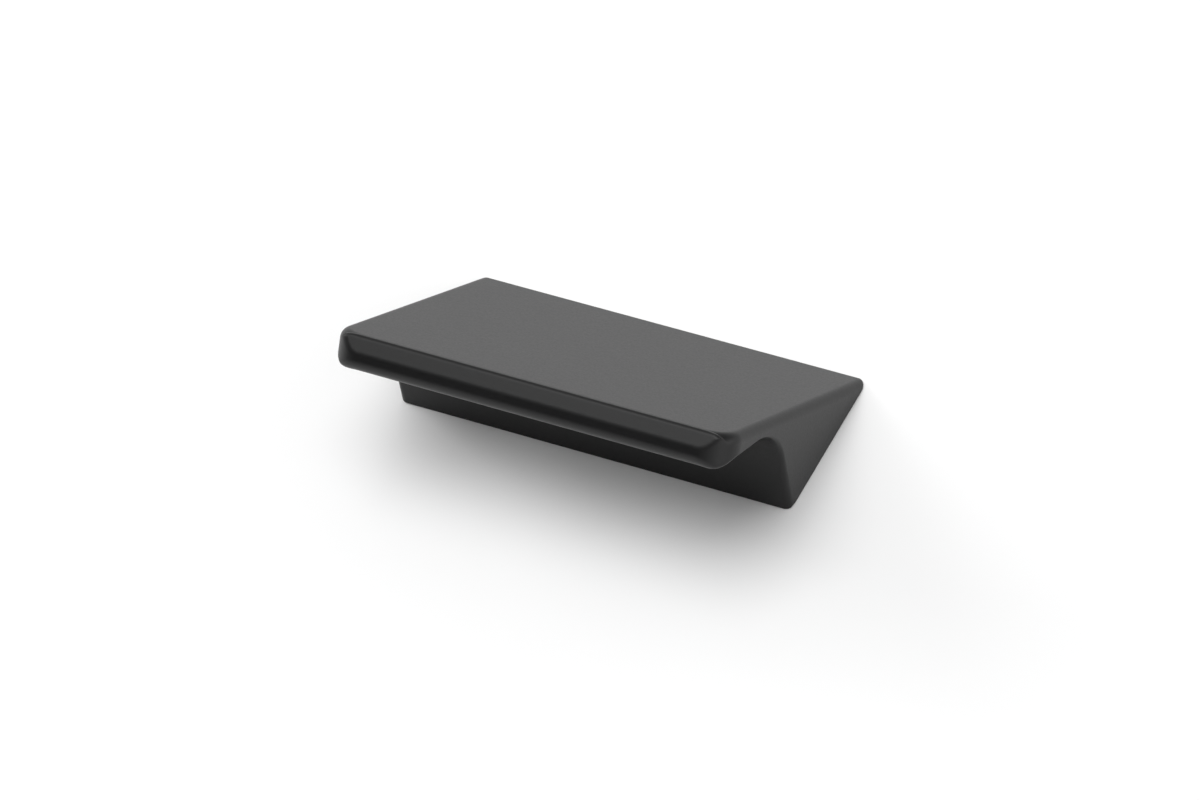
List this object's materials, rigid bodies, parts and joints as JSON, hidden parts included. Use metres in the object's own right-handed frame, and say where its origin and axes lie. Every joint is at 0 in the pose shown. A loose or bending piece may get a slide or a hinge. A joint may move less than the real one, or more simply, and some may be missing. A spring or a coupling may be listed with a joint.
{
  "type": "furniture handle",
  "caption": "Short furniture handle in one piece: a wedge-shaped leg, a wide sloping plate with a turned-down front lip and rounded corners, and a finger cove underneath.",
  "frame": {"origin": "middle of the flat mounting face, on the surface of the drawer or door front", "axes": "+X along the handle, +Y from the foot of the leg to the plate's top edge, +Z away from the drawer or door front"},
  "size_m": [0.06, 0.0369, 0.0253],
  "materials": {
    "black_coating": "matt black powder coat with a fine, soft texture over cast metal"
  },
  "bodies": {
    "root": {"handle_body": "black_coating"}
  },
  "joints": []
}
